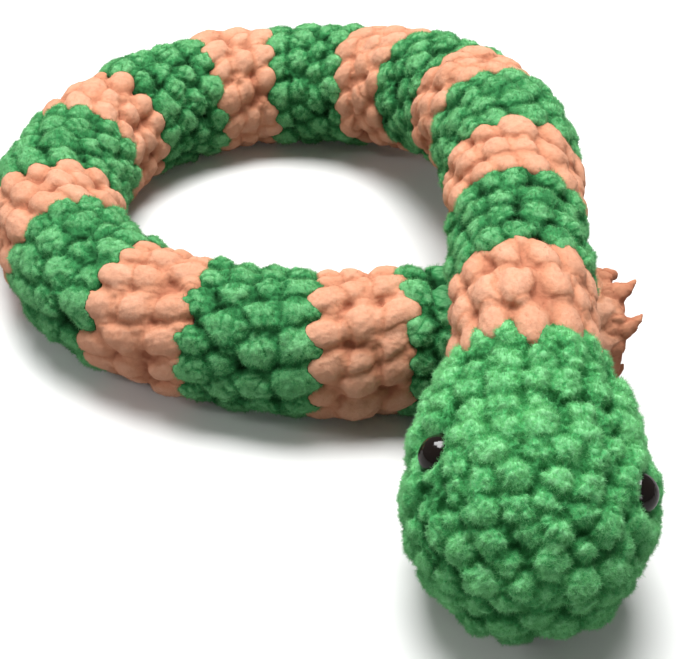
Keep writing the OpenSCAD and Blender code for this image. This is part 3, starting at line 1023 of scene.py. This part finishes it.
# Distance from the eye's axis before and after it is pushed in, and the height of the yarn there
SOCKET = np.array([(0, 0, -0.2), (7.0, 7.3, -0.2), (7.9, 7.35, 0.6), (8.8, 7.25, 1.3),
                   (10.0, 8.6, 1.6), (12.5, 11.6, 1.2), (16.0, 16.0, 0.0)])
SOCKET_REACH, SOCKET_HIGH = 16, 9                # mm out from the eye and above its seat
OWN_FROM, OWN_OVER = 9, 5    # further out, the yarn keeps more of its own height


def pushed_in(points, place):
    """The points of the head's yarn, moved as the rim of an eye moves them."""
    turned = np.array(place)
    local = (points - turned[:3, 3]) @ turned[:3, :3]
    out = np.hypot(local[:, 0], local[:, 1])
    pushed_out, lip = (np.interp(out, SOCKET[:, 0], SOCKET[:, i]) for i in (1, 2))
    top = ease((local[:, 2] + 3.0) / 1.5) * (out < SOCKET_REACH) * (local[:, 2] < SOCKET_HIGH)
    own = ease((out - OWN_FROM) / OWN_OVER)
    rough = 0.25 * (1 - own) * noise(points, 3.0) * ease((out - 8.8) / 2)
    high = lip + own * (local[:, 2] + 0.6) + rough
    local[:, 2] += top * (high - local[:, 2])
    local[:, :2] *= (1 + top * (pushed_out / np.maximum(out, 0.1) - 1))[:, None]
    return local @ turned[:3, :3].T + turned[:3, 3]


points = read(head.data.vertices, "co") / MM
for place in eye_places:
    points = pushed_in(points, place)
write(head.data, points)
print("eyes at", [tuple(round(v, 1) for v in place.translation) for place in eye_places], "mm")

# %% [markdown]
# ## Holes for the shanks
#
# The shank of a safety eye pushes the yarn apart. Deleting faces would leave an open rim, so the
# hole is cut with a Boolean and a plain cylinder, which keeps the cover closed all round.

# %% Cut the holes
TURNS = 48                   # sides of a cylinder
SHANK_HOLE = 2.65            # radius in mm


def cylinder(place, radius_mm, low, high):
    """A cylinder along the axis of an eye, in mm."""
    spin = np.linspace(0, 2 * math.pi, TURNS, endpoint=False)
    ring = np.column_stack([radius_mm * np.cos(spin), radius_mm * np.sin(spin)])
    points = np.concatenate([np.column_stack([ring, np.full(TURNS, z)]) for z in (low, high)])
    turned = np.array(place)
    return new_mesh("tool", points @ turned[:3, :3].T + turned[:3, 3], ring_faces(2, TURNS, True))


def cut(obj, tool, keep=False):
    """Takes the shape of the tool out of the object."""
    boolean = obj.modifiers.new("cut", "BOOLEAN")
    boolean.operation = "DIFFERENCE"
    boolean.solver = "MANIFOLD"
    boolean.object = tool
    baked(obj)
    if not keep:
        bpy.data.objects.remove(tool)


for place in eye_places:
    cut(head, cylinder(place, SHANK_HOLE, -9, 3))
print("head after its holes", len(head.data.vertices), "points")

# %% [markdown]
# ## The filling
#
# Inside are two lumps of polyester fibre, one in the head and one all along the body. The maker
# pushes the fibre in until it fills the cover. It could be left out, as nothing of it shows, but the
# solid toy has it. So each lump is a tube just inside the lining, with room for shanks and washers.

# %% Filling
FILL = -COVER - 0.4          # the lumps stop short of the lining
FILL_ROUGH, FILL_HILLS = 0.35, 7
WASHER_ROOM, SHANK_ROOM = 7.3, 2.9               # radii in mm


def filling(name, us):
    """Soft fibre that fills the lining along the stations us."""
    points, faces = tube([(u, FILL) for u in us], ends=True)
    points = points + FILL_ROUGH * np.column_stack([noise(points + 20 * i, FILL_HILLS) for i in range(3)])
    neck = False if us[0] < 0 else np.repeat(us < NECK_ROUNDS * ROUND, SHELL_SPOKES)
    obj = new_mesh(name, pressed(points, neck, COVER + 0.4), faces)
    soften(obj.data)
    return obj


head_fill = filling("head_filling", -np.linspace(0.8, HEAD_U - 6.5, 60))
body_fill = filling("body_filling", np.linspace(0.8, LAST_ROUND * ROUND - COVER - 1, 260))
for place in eye_places:
    cut(head_fill, cylinder(place, WASHER_ROOM, -8.5, 3))
    cut(head_fill, cylinder(place, SHANK_ROOM, -14.6, 0))
pieces["head_stuffing"], pieces["body_stuffing"] = head_fill, body_fill
print("filling", len(head_fill.data.vertices), "and", len(body_fill.data.vertices), "points")

# %% [markdown]
# ## The filling's fibres
#
# Polyester fibre fill is crimped white fibre, 0.03 mm thick, teased into wads. It could be made of
# hair, but it is shut inside, so two noises over each other do. The wads are drawn 4 mm wide and
# the fibres 1 mm, which is coarser than real ones, or they would not show.

# %% Fibre fill
WAD, STRAND = 4, 1           # mm
# Crimped and carded polyester: it has no shine, and the hollows of its bump are only a little darker,
# painted shade
fibre_fill, tree = new_material("polyester fibre fill")
spot = node(tree, "TexCoord").outputs["Object"]
wads = node(tree, "TexNoise", Vector=spot, Scale=per_metre(WAD), Detail=2.0).outputs["Fac"]
strands = node(tree, "TexNoise", Vector=spot, Scale=per_metre(STRAND), Detail=3.0,
               Distortion=1.5).outputs["Fac"]
both = node(tree, "Math", {"operation": "MULTIPLY_ADD"}, _0=strands, _1=0.5, _2=wads).outputs[0]
tone = node(tree, "ValToRGB", Fac=both)
tone.color_ramp.elements[0].color = light("#cfcdc8")
tone.color_ramp.elements[1].color = light("#f1efeb")
relief = node(tree, "Bump", Height=both, Strength=0.5, Distance=MM).outputs["Normal"]
fluffy = node(tree, "BsdfPrincipled", Base_Color=tone.outputs["Color"], Roughness=0.9, IOR=1.5,
              Normal=relief, Sheen_Weight=0.4)
node(tree, "OutputMaterial", Surface=fluffy.outputs[0])
for lump in (head_fill, body_fill):
    lump.data.materials.append(fibre_fill)
print("both lumps are", fibre_fill.name)

# %% [markdown]
# ## The end of the tail
#
# The last peach band ends in pointed stitches. Inside it, two rounds of green yarn are drawn
# together and close the tube. The skin of the tail could be run on to a point, but the real end is
# flat. So the same leaves are laid on a flat skin of their own, across the tail.

# %% Tail end
# Stitches in a ring and its radius in mm, from the outside in
CLOSING = ((12, 15.0), (6, 8.0), (1, 0.6))
# The disc under them: radius and height of its four rings
DISC = ((0.5, -2.4), (17, -2.4), (17, -4.6), (0.5, -4.6))


def end_skin(u, a, w):
    """A flat skin across the end of the tail: u is the distance from its middle."""
    return around(LAST_ROUND + w / ROUND, a, u)


closing = []
for number, ring_r in CLOSING:
    for j in range(number):
        wobble = rng.normal(size=3)
        angle = 2 * math.pi * (j + 0.3 * (number == 6)) / number + 0.05 * wobble[0]
        closing.append(row(ring_r, angle, -2.6, math.radians(20 + 20 * wobble[1]), 4.7, 4.2, 3.0))
spin = np.linspace(0, 2 * math.pi, TURNS, endpoint=False)
disc = [end_skin(np.full(TURNS, r), spin, w) for r, w in DISC]
closing_yarn = new_mesh("tail_closing_yarn", np.concatenate(disc + [leaves(closing, end_skin)]),
                        ring_faces(len(DISC), TURNS, False) + leaf_faces(len(closing), len(DISC) * TURNS))
melted(closing_yarn, VOXEL, 2)
mesh = closing_yarn.data
points = read(mesh.vertices, "co") / MM
remember(mesh, "depth", np.full(len(points), 0.75))
remember(mesh, "fluff", np.clip(0.5 + 0.5 * noise(points, 2.0), 0, 1))
remember(mesh, "tint", np.full(len(points), 0.5))
remember(mesh, "seam", np.zeros(len(points)))
write(mesh, pressed(points, False, 0.3))
mesh.materials.append(green_yarn)
soften(mesh)
pieces["tail_closing"] = closing_yarn
print("the closing has", len(closing), "stitches")

# %% [markdown]
# ## Crumbs
#
# Yarn is one thread, so no piece of it floats loose. A cut can leave a crumb of mesh beside a piece,
# which nobody sees in the render but which would be printed or cut out with it. Crumbs could be
# picked by hand; here all points that aren't joined to the main part are found and deleted.

# %% Crumbs off
def crumbs_off(mesh):
    """Deletes the crumbs of yarn that a cut leaves beside a piece, and counts their points."""
    ends = np.empty(len(mesh.edges) * 2, np.int32)
    mesh.edges.foreach_get("vertices", ends)
    one, two = ends.reshape(-1, 2).T
    group = np.arange(len(mesh.vertices))
    while True:                               # points joined by edges come to share the lowest number
        least = np.minimum(group[one], group[two])
        joined = group.copy()
        np.minimum.at(joined, group[one], least)
        np.minimum.at(joined, group[two], least)
        joined = joined[joined]
        if np.array_equal(joined, group):
            break
        group = joined
    crumbs = np.flatnonzero(group != np.bincount(group).argmax())
    if len(crumbs):
        work = bmesh.new()
        work.from_mesh(mesh)
        work.verts.ensure_lookup_table()
        bmesh.ops.delete(work, geom=[work.verts[i] for i in crumbs], context="VERTS")
        work.to_mesh(mesh)
        work.free()
    return len(crumbs)


print("points in crumbs of the closing", crumbs_off(closing_yarn.data))

# %% [markdown]
# ## Bands that meet
#
# Where two colours meet, the later stitches lie over the earlier ones like scales. The pieces could
# simply overlap, but then the same place would hold two yarns. So the earlier yarn is cut back by
# the later yarn's shape, and the colours meet in points.

# %% Meet
chain = ["head_cover"]
for i in range(BANDS):
    chain += [f"peach_band_{i + 1:02d}"] + [f"green_band_{i + 1:02d}"] * (i < BANDS - 1)
for name, later in zip(chain, chain[1:]):
    cut(pieces[name], pieces[later], keep=True)
crumbs = sum(crumbs_off(pieces[name].data) for name in chain)
print("cut back", len(chain) - 1, "pieces; points in crumbs", crumbs)

# %% [markdown]
# ## The pile of the yarn
#
# Chenille is a cord set all round with cut fibres, about 0.02 mm thick. They make its soft outline.
# A particle system could grow them, but hair curves made in code are quicker and always the same.
# They are thicker and fewer than real ones, or they would not show.

# %% Where the fibres grow
SPREAD, CURL = 0.6, 0.2      # how much fibres lean at random, and how much they curl
SHORTEST, LONGEST = 0.5, 1.2                     # of a fibre, against the usual length
DOME_CLEAR = 0.6             # mm that fibres stay off an eye


def grown(mesh, per_mm2, length, seed):
    """Root, middle and tip of each fibre in mm, and the mesh point whose numbers it takes."""
    mesh.calc_loop_triangles()
    corners = np.empty(len(mesh.loop_triangles) * 3, np.int32)
    mesh.loop_triangles.foreach_get("vertices", corners)
    corners = corners.reshape(-1, 3)
    points, normals = read(mesh.vertices, "co") / MM, read(mesh.vertex_normals, "vector")
    depth = np.empty(len(points), np.float32)
    mesh.attributes["depth"].data.foreach_get("value", depth)
    a, b, c = (points[corners[:, i]] for i in range(3))
    first = corners[:, 0]
    share = np.linalg.norm(np.cross(b - a, c - a), axis=1) / 2 * ease((depth[first] - 0.1) / 0.3)
    picks = np.random.default_rng(seed)
    which = picks.choice(len(corners), int(share.sum() * per_mm2), p=share / share.sum())
    root = np.einsum("ij,ijk->ik", picks.dirichlet((1, 1, 1), len(which)), points[corners[which]])
    way = unit(normals[first[which]] + SPREAD * picks.normal(size=root.shape))
    reach = length * picks.uniform(SHORTEST, LONGEST, len(root))[:, None]
    curl = CURL * reach * picks.normal(size=root.shape)
    tip = root + reach * way + curl
    near_cross = np.hypot(*(root[:, :2] - cross).T) < CROSS_REACH
    free = (tip[:, 2] > 0.5) & np.logical_not(near_cross & (np.abs(root[:, 2] - CROSS_Z) < 3))
    for place in eye_places:                  # an eye's dome stays bare
        dome = np.array(place)[:3, 3] + 2 * np.array(place)[:3, 2]
        free &= np.linalg.norm(tip - dome, axis=1) > EYE_R + DOME_CLEAR
    middle = (root + tip) / 2 - curl / 2
    return root[free], middle[free], tip[free], first[which[free]]


print("fibres lean by about", round(math.degrees(math.atan(SPREAD))), "degrees")

# %% [markdown]
# ## Fibres as curves
#
# A cut fibre is thick at its root and thin at its tip. Meshes that thin would be far too heavy, so
# each fibre is a curve of three points with a width at each. It takes over what its place on the
# yarn remembers, so that it has the same colour.

# %% Make the fibres
THINNER = (1.0, 0.8, 0.25)   # width at the root, in the middle and at the tip
FIBRE_GRAIN, FIBRE_PAINTED_LIGHT = 0.2, 0.4               # fibres are more even than the yarn's body, and paler: painted light against the shade they get
ROOTED = 0.2                 # share of its length that a fibre goes into the yarn


def pile(obj, per_mm2, length, thick, material, seed):
    """Short fibres on the outside of a piece of yarn, as one object of hair curves."""
    mesh = obj.data
    root, middle, tip, owner = grown(mesh, per_mm2, length, seed)
    curves = bpy.data.hair_curves.new(obj.name + "_pile")
    curves.add_curves([3] * len(root))
    spots = np.stack([root - ROOTED * (tip - root), middle, tip], axis=1) * MM
    curves.attributes["position"].data.foreach_set("vector", spots.astype(np.float32).ravel())
    widths = np.tile(np.array(THINNER, np.float32) * thick / 2 * MM, len(root))
    curves.attributes.new("radius", "FLOAT", "POINT").data.foreach_set("value", widths)
    for name in ("depth", "fluff", "seam", "tint"):
        values = np.empty(len(mesh.vertices), np.float32)
        mesh.attributes[name].data.foreach_get("value", values)
        curves.attributes.new(name, "FLOAT", "CURVE").data.foreach_set("value", values[owner])
    curves.materials.append(material)
    bpy.context.scene.collection.objects.link(bpy.data.objects.new(obj.name + "_pile", curves))
    return len(root)


def fibre(name, colours, fuzz, crease):
    """The fibres that stand on chenille yarn: thin, so that half of the light goes through them."""
    material, tree = new_material(name)
    colour, _ = shades(tree, colours, fuzz, crease, FIBRE_GRAIN, FIBRE_PAINTED_LIGHT)
    front = node(tree, "BsdfDiffuse", Color=colour).outputs[0]
    through = node(tree, "BsdfTranslucent", Color=colour).outputs[0]
    both = node(tree, "MixShader", Fac=0.5, _1=front, _2=through).outputs[0]
    node(tree, "OutputMaterial", Surface=both)
    return material


# Cut polyester fibre lets light through, so the yarn has a pale soft edge against the light
peach_fibre = fibre("peach polyester fibre", PEACH, 0.2, 0.28)
green_fibre = fibre("green polyester fibre", GREEN, 0.35, 0.35)
# The head's fibres take the head's paler colours: painted light
head_fibre = fibre("green polyester fibre, painted paler on the head", HEAD_GREEN, 0.35, 0.22)
# Fibres to the square mm, their length and thickness in mm
PEACH_PILE, GREEN_PILE, HEAD_PILE = (1.2, 0.7, 0.07), (2.2, 1.25, 0.13), (4.0, 1.35, 0.12)
fibres = 0
for i, (name, obj) in enumerate(pieces.items()):
    if "peach" in name:
        fibres += pile(obj, *PEACH_PILE, peach_fibre, 100 + i)
    elif "green" in name:
        fibres += pile(obj, *GREEN_PILE, green_fibre, 100 + i)
    elif name == "head_cover":
        fibres += pile(obj, *HEAD_PILE, head_fibre, 100 + i)
print("fibres", fibres)

# %% [markdown]
# ## What each piece is
#
# Every soft piece here stands for a solid of the CAD model, which has its plain form. The solid
# could be kept under the yarn, but would show through at the creases. So each piece replaces its
# solid, which is hidden, and moves with the toy's one body.

# %% Each piece in place of its solid
for name, obj in pieces.items():
    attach(obj, "root")
    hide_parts(name)
print("soft pieces", len(pieces))

# %% [markdown]
# ## Eyes and washers
#
# The eyes are glossy plastic that is nearly black, and the washers behind them plain white plastic.
# The solids already have their true form, so they only need a material. Moulded plastic could be
# one flat value of roughness, but real mouldings flow, so a soft noise makes it uneven.

# %% Plastic
FLOW = 1000 / 120            # mm, about the width of the uneven patches that moulding leaves


def plastic(name, colour, roughness):
    """Moulded plastic with a faint unevenness."""
    material, tree = new_material(name)
    place = node(tree, "TexCoord").outputs["Object"]
    flow = node(tree, "TexNoise", Vector=place, Scale=per_metre(FLOW), Detail=2.0).outputs["Fac"]
    rough = node(tree, "MapRange", _0=flow, _3=roughness * 0.7, _4=roughness * 1.4).outputs[0]
    body = node(tree, "BsdfPrincipled", Base_Color=light(colour), Roughness=rough, IOR=1.49)
    node(tree, "OutputMaterial", Surface=body.outputs[0])
    return material


# Acrylic from a polished mould: a small sharp highlight on near black
eye_plastic = plastic("moulded acrylic, near black", "#150d0a", 0.08)
# Polypropylene from a plain mould: waxy and half matt, a little warmer than paper
washer_plastic = plastic("moulded polypropylene, white", "#e9e6df", 0.4)
for name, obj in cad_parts.items():
    if name.startswith("eye_"):
        washer = "washer" in name
        obj.data.materials.clear()
        obj.data.materials.append(washer_plastic if washer else eye_plastic)
print("plastics", eye_plastic.name, "and", washer_plastic.name)

# %% [markdown]
# ## Table
#
# The toy was photographed on white. A picture could be put behind it, but then it would have no
# shadow. The table here is matt white and takes the toy's shadow; further off it glows plain white
# to the camera, so that no horizon shows.

# %% Table
SIDE = 6.0                   # metres from the middle to an edge
GLOW_FROM, GLOW_TO = 0.25, 0.6                   # metres from the toy
# Uncoated white paper: no highlight at all, only the soft shadow of what stands on it
material, tree = new_material("matt white paper")
spot = node(tree, "NewGeometry").outputs["Position"]
far = node(tree, "VectorMath", {"operation": "LENGTH"}, _0=spot).outputs["Value"]
seen = node(tree, "LightPath").outputs["Is Camera Ray"]
share = node(tree, "MapRange", _0=far, _1=GLOW_FROM, _2=GLOW_TO, _3=0.0, _4=1.0).outputs[0]
share = node(tree, "Math", {"operation": "MULTIPLY"}, _0=share, _1=seen).outputs[0]
# Dimmer for light that bounces, as the real table is: it had the darkness of the room round it
colour = node(tree, "MixRGB", _0=seen, _1=light("#9f9e9d"), _2=light("#f4f4f3")).outputs[0]
paper = node(tree, "BsdfDiffuse", Color=colour).outputs[0]
white = node(tree, "Emission", Color=light("#ffffff"), Strength=1.0).outputs[0]
top = node(tree, "MixShader", Fac=share, _1=paper, _2=white).outputs[0]
node(tree, "OutputMaterial", Surface=top)
table_mesh = bpy.data.meshes.new("table")
table_mesh.from_pydata([(-SIDE, -SIDE, 0), (SIDE, -SIDE, 0), (SIDE, SIDE, 0), (-SIDE, SIDE, 0)],
                       [], [[0, 1, 2, 3]])
table_mesh.materials.append(material)
table = bpy.data.objects.new("table", table_mesh)
bpy.context.scene.collection.objects.link(table)
print("the table is", 2 * SIDE, "m wide")

# %% [markdown]
# ## Lights
#
# The photograph has soft light from above and behind, a little at the face, and a small bright
# window in the eye. Sunlight would throw hard shadows, so the lamps are broad, and the window is a
# narrow one. The room itself gives a little even light from all sides.

# %% Lights
ROOM_LIGHT = 0.16            # of the world on the object; the camera sees it as 1, which is white


def lamp(name, place, aim, wide, high, power):
    """A rectangular soft light that looks at a point: metres and watts."""
    data = bpy.data.lights.new(name, "AREA")
    data.shape = "RECTANGLE"
    data.size = wide
    data.size_y = high
    data.energy = power
    obj = bpy.data.objects.new(name, data)
    obj.location = place
    obj.rotation_euler = (Vector(aim) - Vector(place)).to_track_quat("-Z", "Y").to_euler()
    obj.visible_camera = False
    bpy.context.scene.collection.objects.link(obj)
    return obj


lamps = [lamp("overhead", (0.0, 0.3, 1.3), (0, 0, 0), 0.9, 0.9, 34),
         lamp("at the head", (0.3, -0.9, 0.45), (0.09, -0.16, 0.04), 0.3, 0.3, 0.7),
         lamp("narrow window", (-0.95, -0.1, 0.5), (0.06, -0.14, 0.05), 0.04, 0.3, 2.0)]
world = bpy.data.worlds.new("white room")
bpy.context.scene.world = world
world.use_nodes = True
room = world.node_tree
room.nodes.clear()
seen = node(room, "LightPath").outputs["Is Camera Ray"]
strength = node(room, "MapRange", _0=seen, _3=ROOM_LIGHT, _4=1.0).outputs[0]
glow = node(room, "Background", Color=light("#ffffff"), Strength=strength).outputs[0]
node(room, "OutputWorld", Surface=glow)
print("lamps", [obj.name for obj in lamps])

# %% [markdown]
# ## Camera
#
# The picture looks down at the toy from above its head. The camera's place and lens could be
# guessed by eye, but they were worked out from the lines of the bands and the size of the eyes.
# Depth of field stays off, so that every stitch can be studied.

# %% Camera
LOOKS_DOWN = 38.5            # degrees
camera_data = bpy.data.cameras.new("camera")
camera_data.lens = 79.3
camera_data.sensor_width = 36
camera_data.clip_start = 0.01
camera = bpy.data.objects.new("camera", camera_data)
bpy.context.scene.collection.objects.link(camera)
camera.location = (0.02101, -0.52108, 0.41365)
camera.rotation_euler = (math.radians(90 - LOOKS_DOWN), 0, 0)
bpy.context.scene.camera = camera
bpy.context.scene.view_settings.view_transform = "Standard"
print("camera", round(camera.location.length, 2), "m from the toy's middle")
